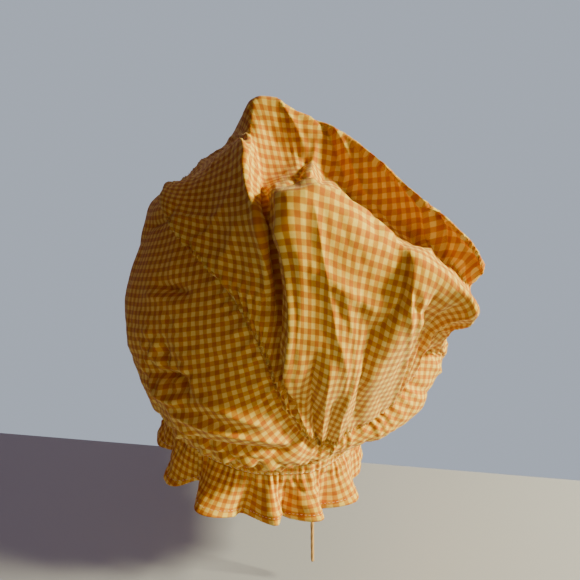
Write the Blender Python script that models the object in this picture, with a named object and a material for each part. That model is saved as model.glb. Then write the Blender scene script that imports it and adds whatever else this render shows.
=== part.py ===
"""Prairie bonnet in gingham cotton, with the stiff, crumpled form it has when worn.

Frame: +X is the wearer's left, +Y the back, +Z up. The origin is the head seat,
where the top of the head meets the inner side of the seam between brim and crown.
All sizes below are in millimetres and turned into metres when a mesh is made.
"""
import math
from collections import namedtuple

import bmesh
import bpy
import numpy as np

# Cloth and gaps
MM = 0.001
WALL = 1.2
SEAM_GAP = 0.3

# How finely the sheets are divided
SEAM_LOOK_AROUND = 0.05
CROWN_STEPS_BETWEEN_FOLDS = 2
CROWN_STEPS_BETWEEN_STATIONS = 3
BRIM_STEPS = 8

# The crown's folds are measured from the middle of the head,
# in a frame turned towards the wearer's left, where the bag leans over
CROWN_LEAN = math.radians(30.0)
HEAD_MIDDLE = (0.0, 30.0, -42.0)
HEAD_CENTRE = (0.0, 30.0, -130.0)
CREASE_SHARPNESS = 0.35
FOLD_TENSION = 0.25
CREASE_ROUNDING = 3
# Share of each fold's height that is kept through the rounding, by column
KEPT_COLUMNS = (1, 3, 11, 13, 16)
KEPT_SHARES = (0.0, 0.7, 0.7, 0.2, 0.0)
WALL_EVENING = 2

# The gathered cloth stands up from its seam before it turns
GATHER_RISE = 4.0
GATHER_SET_BACK = 2.0

# The brim bulges most below the middle of its width on the wearer's left
# and above it on the right, under the lip
BRIM_SAG_LEFT = 1.3
BRIM_SAG_RIGHT = 0.85

# Neck ring: the casing is gathered round the neck between the two ends of the
# face opening, and the curtain ruffle hangs from it
RING_CENTRE = (0.0, 35.0)
RING_END_STATION = 5.0
RING_COLUMNS = 96
CASING_HEIGHT = 11.0
CASING_BULGE = 1.4
CASING_PUCKER = 0.5
CASING_PUCKERS = 32
RUFFLE_HEIGHT = 35.0
RUFFLE_FLARE = 7.0
RUFFLE_STEPS = 4

# Drawstring: it leaves the casing's inner side at the nape and hangs straight
# down inside the ruffle to its bare end
STRING_DIAMETER = 2.8
STRING_ANGLE = 3.0
STRING_TOP = -236.0
STRING_LENGTH = 89.0
STRING_LEAN = (0.5, 2.5)
STRING_SPACING = 7.0
STRING_CLEARANCE = 0.3

# The seam between brim and crown and the brim's outer edge, from the nape
# round the wearer's left side to the top. The right side is the mirror image,
# and the weight of the bag pulls its seam by the last column.
Section = namedtuple("Section", "name station seam rim swell_left swell_right pull")
SECTIONS = (
    Section("nape",       0,  (0, 140, -204),  (0, 124, -230),   6,  6,  (0, 0, 0)),
    Section("nape side",  1,  (14, 140, -200), (20, 121, -229),  8,  10, (-4, 0, 0)),
    Section("back low",   2,  (32, 146, -182), (50, 107, -226),  16, 20, (-8, -4, -10)),
    Section("back",       3,  (50, 151, -154), (76, 75, -220),   26, 34, (-10, -8, -22)),
    Section("back high",  4,  (59, 150, -128), (85, 35, -213),   36, 44, (-20, -8, -24)),
    Section("cheek low",  5,  (67, 140, -102), (79, -6, -206),   43, 44, (-30, 6, -46)),
    Section("cheek",      6,  (75, 120, -78),  (76, -32, -182),  43, 40, (-32, 8, -40)),
    Section("temple low", 7,  (81, 90, -58),   (77, -50, -152),  32, 28, (-16, 2, -18)),
    Section("temple",     8,  (85, 55, -44),   (73, -56, -112),  16, 16, (-5, 0, -6)),
    Section("side",       9,  (78, 25, -30),   (64, -58, -74),   12, 12, (0, 0, 0)),
    Section("side top",   10, (58, 10, -25),   (50, -60, -48),   9,  9,  (0, 0, 0)),
    Section("top side",   11, (30, 1, -7),     (30, -62, -32),   6,  6,  (0, 0, 0)),
    Section("top",        12, (0, 0, 1.6),     (0, -63, -14),    5,  5,  (0, 0, 0)),
)
TOP_STATION = 12

# The folds of the crown, from the wearer's left to the right. Each runs from its
# root on the seam over the brow, down into the pocket behind it, up to the crest
# and over the far side to the seam again. Root and far are stations of the seam,
# negative on the wearer's right; the others are (across, out, up).
Fold = namedtuple("Fold", "name root far low mid brow pocket crest")
FOLDS = (
    Fold("tail", 8.1, 10.0,
         (-71, 62, 8), (-72, 56, 16), (-70, 47, 21), (-66, 38, 21), (-60, 30, 19)),
    Fold("flap edge", 7.0, 10.3,
         (-53, 99, -9), (-57, 86, 4), (-58, 70, 14), (-55, 57, 19), (-49, 42, 21)),
    Fold("flap", 5.8, 10.5,
         (-28, 121, -30), (-26, 113, -14), (-25, 101, 6), (-20, 90, 28), (-14, 79, 46)),
    Fold("flap ridge", 4.5, 10.9,
         (7, 138, -50), (12, 141, -34), (6, 146, 2), (0, 125, 21), (-8, 89, 50)),
    Fold("valley", 3.4, 11.2,
         (17, 132, -60), (18, 129, -34), (11, 127, 10), (5, 92, 20), (-6, 62, 50)),
    Fold("puff left", 1.9, 11.5,
         (19, 141, -98), (25, 151, -58), (15, 148, 18), (9, 82, 22), (-6, 48, 80)),
    Fold("slot", 1.2, 11.8,
         (35, 141, -97), (34, 153, -30), (28, 149, 19), (24, 75, 30), (8, 46, 82)),
    Fold("ridge", 0.7, -11.8,
         (53, 140, -96), (47, 150, -40), (38, 147, 20), (33, 78, 34), (27, 51, 71)),
    Fold("facet", 0.1, -11.4,
         (62, 138, -90), (60, 149, -30), (56, 146, 12), (58, 82, 18), (50, 61, 62)),
    Fold("hollow", -0.8, -11.0,
         (74, 128, -104), (75, 143, -58), (86, 141, -13), (91, 100, -10), (74, 80, 46)),
    Fold("right crest", -2.4, -10.6,
         (100, 118, -90), (95, 149, -44), (94, 145, -13), (108, 103, -14), (93, 100, 24)),
    Fold("second crest", -3.0, -10.2,
         (114, 94, -78), (112, 136, -46), (112, 144, -25), (121, 114, -27), (117, 117, 6)),
    Fold("lip", -3.8, -9.8,
         (133, 97, -74), (132, 127, -55), (127, 137, -36), (126, 114, -30), (136, 121, -10)),
    Fold("corner", -4.9, -9.4,
         (138, 92, -84), (141, 119, -70), (143, 130, -57), (136, 117, -43), (145, 121, -27)),
    Fold("flank", -6.3, -8.9,
         (134, 62, -64), (139, 82, -62), (141, 96, -54), (140, 94, -42), (134, 86, -28)),
)
LEFT_END = 9.5
RIGHT_END = -8.1

# Lobes of the curtain ruffle round the neck ring: the angle is measured from the
# nape towards the wearer's left, out is how far the hem stands out or in, and
# drop how much further it hangs down
Lobe = namedtuple("Lobe", "name angle half_width out drop slant")
LOBES = (
    Lobe("left front",    112, 13, 8,   2,  2),
    Lobe("left fold in",  96,  9,  -8,  -4, 0),
    Lobe("left flap",     82,  13, 11,  4,  4),
    Lobe("left notch",    66,  8,  -9,  -7, 0),
    Lobe("left lobe",     50,  13, 16,  -4, 10),
    Lobe("first turn",    35,  6,  -11, 4,  8),
    Lobe("s fold",        27,  6,  11,  -3, -6),
    Lobe("second turn",   18,  6,  -11, 4,  4),
    Lobe("middle lobe",   8,   7,  10,  -2, -5),
    Lobe("nape turn",     -3,  5,  -10, 3,  4),
    Lobe("right lobe",    -15, 9,  9,   0,  -4),
    Lobe("right turn",    -27, 6,  -8,  1,  0),
    Lobe("right flap",    -41, 12, 2,   -4, 0),
    Lobe("side turn",     -57, 9,  -7,  -6, 0),
    Lobe("far flap",      -74, 13, 1,   -4, 0),
    Lobe("far turn",      -91, 9,  -7,  -5, 0),
    Lobe("right front",   -110, 13, 4,  -3, 0),
)

GINGHAM_YELLOW = (0.93, 0.66, 0.24)
HEM_YELLOW = (0.95, 0.72, 0.33)
STRING_TAN = (0.72, 0.50, 0.26)
COTTON_ROUGHNESS = 0.85


def clear_scene():
    """Remove the objects that the scene starts with."""
    for old in list(bpy.data.objects):
        bpy.data.objects.remove(old, do_unlink=True)


def spline(knots, values, at, tension=0.0):
    """Smooth curve through values at knots, read at each position in at."""
    knots = np.asarray(knots, float)
    values = np.asarray(values, float)
    at = np.clip(np.asarray(at, float), knots[0], knots[-1])
    low = np.clip(np.searchsorted(knots, at, side="right") - 1, 0, len(knots) - 2)
    width = (knots[low + 1] - knots[low])[..., None]
    t = (at - knots[low])[..., None] / width
    slopes = np.gradient(values, knots, axis=0, edge_order=1) * (1.0 - tension)
    keep_low = 2 * t**3 - 3 * t**2 + 1
    leave_low = t**3 - 2 * t**2 + t
    reach_high = -2 * t**3 + 3 * t**2
    meet_high = t**3 - t**2
    return (keep_low * values[low] + leave_low * width * slopes[low]
            + reach_high * values[low + 1] + meet_high * width * slopes[low + 1])


def unit(vectors):
    """Vectors of length one."""
    return vectors / np.linalg.norm(vectors, axis=-1, keepdims=True)


def round_the_bonnet(column):
    """Stations and values of one column of SECTIONS, all the way round and a little past the top."""
    left = [(row.station, np.array(getattr(row, column), float)) for row in SECTIONS]
    right = []
    for row in SECTIONS[1:]:
        x, y, z = getattr(row, column)
        pull = np.array(row.pull, float) if column == "seam" else np.zeros(3)
        right.append((-row.station, np.array((-x, y, z), float) + pull))
    loop = right[::-1] + left
    turn = 2 * TOP_STATION
    before = [(station - turn, value) for station, value in left[-3:-1]]
    after = [(station + turn, value) for station, value in right[-3:-1][::-1]]
    rows = sorted(before + loop + after, key=lambda row: row[0])
    return [row[0] for row in rows], [row[1] for row in rows]


def seam_at(station):
    """Points of the seam between brim and crown, on its outer side."""
    return spline(*round_the_bonnet("seam"), station)


def rim_at(station):
    """Points of the brim's outer edge: the neck ring, then the edge round the face."""
    return spline(*round_the_bonnet("rim"), station)


def swell_at(station):
    """How far the brim bulges between seam and rim."""
    stations = [row.station for row in SECTIONS]
    left = np.interp(np.abs(station), stations, [row.swell_left for row in SECTIONS])
    right = np.interp(np.abs(station), stations, [row.swell_right for row in SECTIONS])
    return np.where(np.asarray(station) < 0, right, left)


def seam_outward(station):
    """Direction square to the seam that both cloths share there, away from the head."""
    along = unit(seam_at(station + SEAM_LOOK_AROUND) - seam_at(station - SEAM_LOOK_AROUND))
    away = unit(seam_at(station) - np.array(HEAD_CENTRE))
    return unit(away - along * np.sum(away * along, axis=-1, keepdims=True))


def across_seam(station):
    """Direction along the cloth at the seam, square to it, from the brim towards the crown."""
    along = unit(seam_at(station + SEAM_LOOK_AROUND) - seam_at(station - SEAM_LOOK_AROUND))
    return np.cross(along, seam_outward(station))


def ring_outward(points):
    """Level direction away from the middle of the neck ring."""
    flat = np.array(points, float)
    flat[..., 0] -= RING_CENTRE[0]
    flat[..., 1] -= RING_CENTRE[1]
    flat[..., 2] = 0.0
    return unit(flat)


def grid_outward(grid, sign):
    """Directions square to a grid of points, on the side that sign picks."""
    along = np.gradient(grid, axis=0)
    across = np.gradient(grid, axis=1)
    square = np.cross(along, across) * sign
    return square / np.maximum(np.linalg.norm(square, axis=-1, keepdims=True), 1e-9)


def crown_from_lean(point):
    """Turn a fold's (across, out, up) into the bonnet's frame."""
    across, out, up = point
    cos, sin = math.cos(CROWN_LEAN), math.sin(CROWN_LEAN)
    return np.array((sin * out - cos * across, cos * out + sin * across, up)) + HEAD_MIDDLE


def crown_columns():
    """Seam stations of the crown's columns: where each leaves the seam and where it comes back."""
    turn = 2 * TOP_STATION
    roots = [LEFT_END] + [fold.root for fold in FOLDS] + [RIGHT_END]
    fars = [LEFT_END] + [fold.far for fold in FOLDS] + [RIGHT_END]
    fars = [far if far > 0 else far + turn for far in fars]
    last = len(roots) - 1
    between = np.linspace(1, last - 1, (last - 2) * CROWN_STEPS_BETWEEN_FOLDS + 1)
    at = np.concatenate(([0], between, [last]))
    root = np.interp(at, range(len(roots)), roots)
    far = np.interp(at, range(len(fars)), fars)
    return at, root, np.where(far > TOP_STATION, far - turn, far)


def relaxed(grid, rounds):
    """The grid with its inner points drawn towards their neighbours, as stiff cloth rounds a crease."""
    for _ in range(rounds):
        near = grid[:-2, 1:-1] + grid[2:, 1:-1] + grid[1:-1, :-2] + grid[1:-1, 2:]
        grid[1:-1, 1:-1] += (near / 4 - grid[1:-1, 1:-1]) * 0.5
    return grid


def crown_grid():
    """Outer side of the crown, one column for each fold and those between."""
    stations = range(7)
    rows = np.linspace(0, 6, 6 * CROWN_STEPS_BETWEEN_STATIONS + 1)
    lines = []
    for fold in FOLDS:
        middle = [crown_from_lean(p) for p in (fold.low, fold.mid, fold.brow, fold.pocket, fold.crest)]
        ends = [seam_at(np.array(float(station))) for station in (fold.root, fold.far)]
        lines.append(spline(stations, [ends[0]] + middle + [ends[1]], rows, FOLD_TENSION))
    for place, station in ((0, LEFT_END), (len(lines) + 1, RIGHT_END)):
        lines.insert(place, np.repeat(seam_at(np.array([station])), len(rows), axis=0))
    at, root, far = crown_columns()
    flat = np.array(lines).reshape(len(lines), -1)
    soft = spline(range(len(lines)), flat, at)
    crisp = np.array([np.interp(at, range(len(lines)), flat[:, k]) for k in range(flat.shape[1])]).T
    mixed = soft * (1 - CREASE_SHARPNESS) + crisp * CREASE_SHARPNESS
    grid = mixed.reshape(len(at), len(rows), 3)
    grid[:, 0] = seam_at(root)
    grid[:, -1] = seam_at(far)
    grid[0] = grid[0, 0]
    grid[-1] = grid[-1, 0]
    lost = grid - relaxed(grid.copy(), CREASE_ROUNDING)
    kept = np.interp(at, KEPT_COLUMNS, KEPT_SHARES)[:, None, None]
    return relaxed(grid + lost * kept, CREASE_ROUNDING)


def brim_stations():
    """Seam stations where the crown has a corner, once round from the top to the top."""
    _, root, far = crown_columns()
    return np.array(sorted(set(np.round(np.concatenate((root, far)), 6))))


def brim_points(stations, t):
    """Outer side of the brim at seam stations, from the seam (t = 0) to its rim (t = 1)."""
    seam, rim = seam_at(stations), rim_at(stations)
    away = (seam + rim) / 2 - np.array(HEAD_CENTRE)
    away[..., 2] *= 0.5
    low = t ** np.where(stations < 0, BRIM_SAG_RIGHT, BRIM_SAG_LEFT)
    full = 4 * low * (1 - low)
    return seam + (rim - seam) * t[..., None] + unit(away) * (swell_at(stations) * full)[..., None]


def mesh_object(name, bm, colour):
    """Turn a bmesh into a shaded object with its own cotton material."""
    mesh = bpy.data.meshes.new(name)
    bm.to_mesh(mesh)
    bm.free()
    mesh.shade_smooth()
    mesh.set_sharp_from_angle(angle=math.radians(50))
    piece = bpy.data.objects.new(name, mesh)
    bpy.context.scene.collection.objects.link(piece)
    piece.data.materials.append(cotton(name + "_cotton", colour))
    return piece


def cotton(name, colour):
    """Plain woven cotton."""
    material = bpy.data.materials.new(name)
    material.use_nodes = True
    shader = material.node_tree.nodes["Principled BSDF"]
    shader.inputs["Base Color"].default_value = (*colour, 1.0)
    shader.inputs["Roughness"].default_value = COTTON_ROUGHNESS
    shader.inputs["Metallic"].default_value = 0.0
    return material


def cloth_shell(name, grid, outward, colour, closed=False):
    """A wall of cloth: the grid is its outer side and outward points away from its inner side."""
    columns, rows = grid.shape[:2]
    bm = bmesh.new()
    sides = []
    for depth in (0.0, WALL):
        points = (grid - outward * depth) * MM
        sides.append([[bm.verts.new(p) for p in column] for column in points])
    last = columns if closed else columns - 1
    outer, inner = sides
    for i in range(last):
        k = (i + 1) % columns
        for j in range(rows - 1):
            bm.faces.new((outer[i][j], outer[k][j], outer[k][j + 1], outer[i][j + 1]))
            bm.faces.new((inner[i][j + 1], inner[k][j + 1], inner[k][j], inner[i][j]))
        for j in (0, rows - 1):
            bm.faces.new((outer[i][j], inner[i][j], inner[k][j], outer[k][j]))
    if not closed:
        for i in (0, columns - 1):
            for j in range(rows - 1):
                bm.faces.new((outer[i][j], outer[i][j + 1], inner[i][j + 1], inner[i][j]))
    bmesh.ops.remove_doubles(bm, verts=bm.verts, dist=1e-7)
    bmesh.ops.dissolve_degenerate(bm, edges=bm.edges, dist=1e-7)
    bmesh.ops.recalc_face_normals(bm, faces=bm.faces)
    if bm.calc_volume(signed=True) < 0:
        bmesh.ops.reverse_faces(bm, faces=bm.faces)
    return mesh_object(name, bm, colour)


def make_crown():
    """The bag at the back: a puff with a tall flap, a knob at the top and a lip on the right."""
    grid = crown_grid()
    _, root, far = crown_columns()
    outward = grid_outward(grid, 1)
    outward[:, 0] = seam_outward(root)
    outward[:, -1] = seam_outward(far)
    outward[0] = outward[0, 0]
    outward[-1] = outward[-1, 0]
    for row, second, third, fourth, station in ((0, 1, 2, 3, root), (-1, -2, -3, -4, far)):
        to_crown = across_seam(station)
        stand = outward[:, row] * GATHER_RISE + to_crown * GATHER_SET_BACK
        grid[1:-1, second] = (grid[:, row] + stand)[1:-1]
        grid[1:-1, third] = (grid[1:-1, second] + grid[1:-1, fourth]) / 2
        grid[:, row] += to_crown * SEAM_GAP / 2
    grid[0] = grid[0, 0]
    grid[-1] = grid[-1, 0]
    outward = unit(relaxed(outward, WALL_EVENING))
    outward[0] = unit(outward[1, 1:-1].mean(axis=0))
    outward[-1] = unit(outward[-2, 1:-1].mean(axis=0))
    return cloth_shell("crown", grid, outward, GINGHAM_YELLOW)


def make_brim():
    """The broad band round the head: its inner loop is the seam, its outer loop the face edge and neck."""
    stations = brim_stations()
    t = np.linspace(0, 1, BRIM_STEPS + 1)
    grid = brim_points(stations[:, None] + 0 * t, t + 0 * stations[:, None])
    outward = grid_outward(grid, 1)
    outward[:, 0] = seam_outward(stations)
    on_ring = np.abs(stations) <= RING_END_STATION
    outward[on_ring, -1] = ring_outward(grid[on_ring, -1])
    grid[:, 0] -= across_seam(stations) * SEAM_GAP / 2
    return cloth_shell("brim", grid, outward, GINGHAM_YELLOW, closed=True)


def ring_line():
    """Points of the neck ring, evenly spaced along the brim's lower edge."""
    corners = brim_stations()
    edge = rim_at(corners)
    fine = np.linspace(-RING_END_STATION, RING_END_STATION, 2001)
    line = np.array([np.interp(fine, corners, edge[:, k]) for k in range(3)]).T
    length = np.concatenate(([0.0], np.cumsum(np.linalg.norm(np.diff(line, axis=0), axis=1))))
    even = np.linspace(0.0, length[-1], RING_COLUMNS + 1)
    return np.array([np.interp(even, length, line[:, k]) for k in range(3)]).T


def ring_angles(line):
    """Angle of each point of the ring in degrees, from the nape towards the wearer's left."""
    return np.degrees(np.arctan2(line[:, 0] - RING_CENTRE[0], line[:, 1] - RING_CENTRE[1]))


def casing_grid():
    """Outer side of the gathered casing, from the brim's edge down."""
    line = ring_line()
    outward = ring_outward(line)
    turn = np.linspace(0.0, 2.0 * math.pi * CASING_PUCKERS, len(line))
    bulge = CASING_BULGE + CASING_PUCKER * np.sin(turn)
    top = line - np.array((0.0, 0.0, SEAM_GAP))
    bottom = line - np.array((0.0, 0.0, CASING_HEIGHT))
    middle = (top + bottom) / 2 + outward * bulge[:, None]
    return np.stack((top, middle, bottom), axis=1)


def ruffle_grid():
    """Outer side of the curtain ruffle, from the casing down to its hem."""
    line = casing_grid()[:, -1] - np.array((0.0, 0.0, SEAM_GAP))
    outward = ring_outward(line)
    angle = ring_angles(line)
    out = np.full(len(line), RUFFLE_FLARE)
    beside = np.stack((outward[:, 1], -outward[:, 0], 0 * outward[:, 0]), axis=1)
    drop = np.full(len(line), RUFFLE_HEIGHT)
    slant = np.zeros(len(line))
    for lobe in LOBES:
        near = np.exp(-((angle - lobe.angle) / (0.8 * lobe.half_width)) ** 2)
        out += lobe.out * near
        drop += lobe.drop * near
        slant += lobe.slant * near
    columns = []
    for t in np.linspace(0.0, 1.0, RUFFLE_STEPS + 1):
        stand = (out * t ** 1.2)[:, None]
        hang = np.stack((0 * drop, 0 * drop, drop * t), axis=1)
        lean = (slant * t ** 1.3)[:, None]
        columns.append(line + outward * stand + beside * lean - hang)
    return np.stack(columns, axis=1)


def make_casing():
    """The gathered strip round the neck that holds the drawstring."""
    grid = casing_grid()
    return cloth_shell("neck_casing", grid, ring_outward(grid), HEM_YELLOW)


def make_ruffle():
    """The curtain ruffle that hangs below the casing in lobes."""
    grid = ruffle_grid()
    outward = grid_outward(grid, 1)
    outward[:, 0] = ring_outward(grid[:, 0])
    return cloth_shell("curtain_ruffle", grid, outward, GINGHAM_YELLOW)


def string_route():
    """Middle line of the drawstring."""
    line = ring_line()
    angle = math.radians(STRING_ANGLE)
    nearest = line[np.argmin(np.abs(ring_angles(line) - STRING_ANGLE))]
    radius = math.hypot(nearest[0] - RING_CENTRE[0], nearest[1] - RING_CENTRE[1])
    radius -= WALL + STRING_CLEARANCE + STRING_DIAMETER / 2
    start_x = RING_CENTRE[0] + radius * math.sin(angle)
    start_y = RING_CENTRE[1] + radius * math.cos(angle)
    route = []
    for t in np.linspace(0.0, 1.0, round(STRING_LENGTH / STRING_SPACING) + 1):
        lean = t * t
        route.append((start_x + STRING_LEAN[0] * lean, start_y + STRING_LEAN[1] * lean,
                      STRING_TOP - STRING_LENGTH * t))
    return route


def make_drawstring():
    """The free end of the drawstring, a round cotton cord."""
    route = string_route()
    curve = bpy.data.curves.new("drawstring", "CURVE")
    curve.dimensions = "3D"
    curve.bevel_depth = STRING_DIAMETER / 2 * MM
    curve.bevel_resolution = 2
    curve.use_fill_caps = True
    path = curve.splines.new("POLY")
    path.points.add(len(route) - 1)
    for point, place in zip(path.points, route):
        point.co = (*(np.array(place) * MM), 1.0)
    piece = bpy.data.objects.new("drawstring", curve)
    bpy.context.scene.collection.objects.link(piece)
    curve.materials.append(cotton("drawstring_cotton", STRING_TAN))
    return piece


def main():
    """Build every piece of the bonnet."""
    clear_scene()
    make_crown()
    make_brim()
    make_casing()
    make_ruffle()
    make_drawstring()


main()
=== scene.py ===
"""Prairie bonnet in gingham cotton, as worn: brim, crown, neck casing, curtain ruffle and drawstring.

Sizes are in millimetres unless a name says otherwise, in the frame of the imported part:
+X is the wearer's left, +Y the back and +Z up, with the origin at the top of the head.
"""
import logging
import math
from dataclasses import dataclass
from enum import Enum
from typing import Sequence

import bmesh
import bpy
import numpy as np
from mathutils import Matrix, Vector


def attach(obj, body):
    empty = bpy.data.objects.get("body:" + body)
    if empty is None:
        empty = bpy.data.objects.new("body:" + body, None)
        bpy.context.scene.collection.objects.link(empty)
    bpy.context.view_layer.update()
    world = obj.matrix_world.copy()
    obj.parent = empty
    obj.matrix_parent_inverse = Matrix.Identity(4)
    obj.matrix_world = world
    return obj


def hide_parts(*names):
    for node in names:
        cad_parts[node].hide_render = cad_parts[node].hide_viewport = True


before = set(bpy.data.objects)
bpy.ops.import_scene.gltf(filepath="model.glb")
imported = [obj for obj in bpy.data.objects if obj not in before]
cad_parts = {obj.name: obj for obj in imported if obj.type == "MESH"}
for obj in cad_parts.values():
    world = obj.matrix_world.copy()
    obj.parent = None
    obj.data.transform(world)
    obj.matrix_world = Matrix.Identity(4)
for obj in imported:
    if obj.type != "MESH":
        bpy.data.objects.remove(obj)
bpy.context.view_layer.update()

MM = 0.001
BODY = "root"
LAST_ROW = 6
TINY = 1e-6
MIXERS = (374761393, 668265263, 974634777, 1274126177, 2246822519)
WORD = 0xFFFFFFFF
FOLD_END = 0.06
FOLD_SHARPNESS = 1.25
Triple = tuple[float, float, float]
log = logging.getLogger("bonnet")


class Slot(Enum):
    """The record's material slots."""

    BRIM = "brim_gingham"
    CROWN = "crown_gingham"
    CASING = "casing_gingham"
    RUFFLE = "ruffle_gingham"
    CORD = "cord_cotton"


class Held(Enum):
    """How a sheet of cloth is held."""

    GATHERED = "gathered"
    STRETCHED = "stretched"


# The form that every piece follows


@dataclass(frozen=True)
class Section:
    """One section of the brim, from the nape (station 0) round to the top (station 12)."""

    name: str
    station: float
    seam: Triple
    rim: Triple
    swell_left: float
    swell_right: float
    pull: Triple


SECTIONS = (
    Section("nape",       0,  (0, 140, -204),  (0, 124, -230),   6,  6,  (0, 0, 0)),
    Section("nape side",  1,  (14, 140, -200), (20, 121, -229),  8,  10, (-4, 0, 0)),
    Section("back low",   2,  (32, 146, -182), (50, 107, -226),  16, 20, (-8, -4, -10)),
    Section("back",       3,  (50, 151, -154), (76, 75, -220),   26, 34, (-10, -8, -22)),
    Section("back high",  4,  (59, 150, -128), (85, 35, -213),   36, 44, (-20, -8, -24)),
    Section("cheek low",  5,  (67, 140, -102), (79, -6, -206),   43, 44, (-30, 6, -46)),
    Section("cheek",      6,  (75, 120, -78),  (76, -32, -182),  43, 40, (-32, 8, -40)),
    Section("temple low", 7,  (81, 90, -58),   (77, -50, -152),  32, 28, (-16, 2, -18)),
    Section("temple",     8,  (85, 55, -44),   (73, -56, -112),  16, 16, (-5, 0, -6)),
    Section("side",       9,  (78, 25, -30),   (64, -58, -74),   12, 12, (0, 0, 0)),
    Section("side top",   10, (58, 10, -25),   (50, -60, -48),   9,  9,  (0, 0, 0)),
    Section("top side",   11, (30, 1, -7),     (30, -62, -32),   6,  6,  (0, 0, 0)),
    Section("top",        12, (0, 0, 1.6),     (0, -63, -14),    5,  5,  (0, 0, 0)),
)


@dataclass(frozen=True)
class Fold:
    """One fold of the crown from its root on the seam to the seam on the far side, as (across, out, up)."""

    name: str
    root: float
    far: float
    low: Triple
    mid: Triple
    brow: Triple
    pocket: Triple
    crest: Triple


FOLDS = (
    Fold("tail", 8.1, 10.0,
         (-71, 62, 8), (-72, 56, 16), (-70, 47, 21), (-66, 38, 21), (-60, 30, 19)),
    Fold("flap edge", 7.0, 10.3,
         (-53, 99, -9), (-57, 86, 4), (-58, 70, 14), (-55, 57, 19), (-49, 42, 21)),
    Fold("flap", 5.8, 10.5,
         (-28, 121, -30), (-26, 113, -14), (-25, 101, 6), (-20, 90, 28), (-14, 79, 46)),
    Fold("flap ridge", 4.5, 10.9,
         (7, 138, -50), (12, 141, -34), (6, 146, 2), (0, 125, 21), (-8, 89, 50)),
    Fold("valley", 3.4, 11.2,
         (17, 132, -60), (18, 129, -34), (11, 127, 10), (5, 92, 20), (-6, 62, 50)),
    Fold("puff left", 1.9, 11.5,
         (19, 141, -98), (25, 151, -58), (15, 148, 18), (9, 82, 22), (-6, 48, 80)),
    Fold("slot", 1.2, 11.8,
         (35, 141, -97), (34, 153, -30), (28, 149, 19), (24, 75, 30), (8, 46, 82)),
    Fold("ridge", 0.7, -11.8,
         (53, 140, -96), (47, 150, -40), (38, 147, 20), (33, 78, 34), (27, 51, 71)),
    Fold("facet", 0.1, -11.4,
         (62, 138, -90), (60, 149, -30), (56, 146, 12), (58, 82, 18), (50, 61, 62)),
    Fold("hollow", -0.8, -11.0,
         (74, 128, -104), (75, 143, -58), (86, 141, -13), (91, 100, -10), (74, 80, 46)),
    Fold("right crest", -2.4, -10.6,
         (100, 118, -90), (95, 149, -44), (94, 145, -13), (108, 103, -14), (93, 100, 24)),
    Fold("second crest", -3.0, -10.2,
         (114, 94, -78), (112, 136, -46), (112, 144, -25), (121, 114, -27), (117, 117, 6)),
    Fold("lip", -3.8, -9.8,
         (133, 97, -74), (132, 127, -55), (127, 137, -36), (126, 114, -30), (136, 121, -10)),
    Fold("corner", -4.9, -9.4,
         (138, 92, -84), (141, 119, -70), (143, 130, -57), (136, 117, -43), (145, 121, -27)),
    Fold("flank", -6.3, -8.9,
         (134, 62, -64), (139, 82, -62), (141, 96, -54), (140, 94, -42), (134, 86, -28)),
)


@dataclass(frozen=True)
class Lobe:
    """One lobe of the ruffle: its angle from the nape towards the wearer's left, and how its hem stands."""

    name: str
    angle: float
    half_width: float
    out: float
    drop: float
    slant: float


LOBES = (
    Lobe("left front",    112, 13, 8,   2,  2),
    Lobe("left fold in",  96,  9,  -8,  -4, 0),
    Lobe("left flap",     82,  13, 11,  4,  4),
    Lobe("left notch",    66,  8,  -9,  -7, 0),
    Lobe("left lobe",     50,  13, 16,  -4, 10),
    Lobe("first turn",    35,  6,  -11, 4,  8),
    Lobe("s fold",        27,  6,  11,  -3, -6),
    Lobe("second turn",   18,  6,  -11, 4,  4),
    Lobe("middle lobe",   8,   7,  10,  -2, -5),
    Lobe("nape turn",     -3,  5,  -10, 3,  4),
    Lobe("right lobe",    -15, 9,  9,   0,  -4),
    Lobe("right turn",    -27, 6,  -8,  1,  0),
    Lobe("right flap",    -41, 12, -3,  -4, 0),
    Lobe("side turn",     -57, 9,  -9,  -6, 0),
    Lobe("far flap",      -74, 13, -5,  -4, 0),
    Lobe("far turn",      -91, 9,  -7,  -5, 0),
    Lobe("right front",   -110, 13, 4,  -3, 0),
)


@dataclass(frozen=True)
class Crease:
    """A line pressed into a cloth, in the cloth's own columns and rows; a positive depth stands out."""

    name: str
    path: tuple[tuple[float, float], ...]
    depth: float
    width: float


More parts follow.
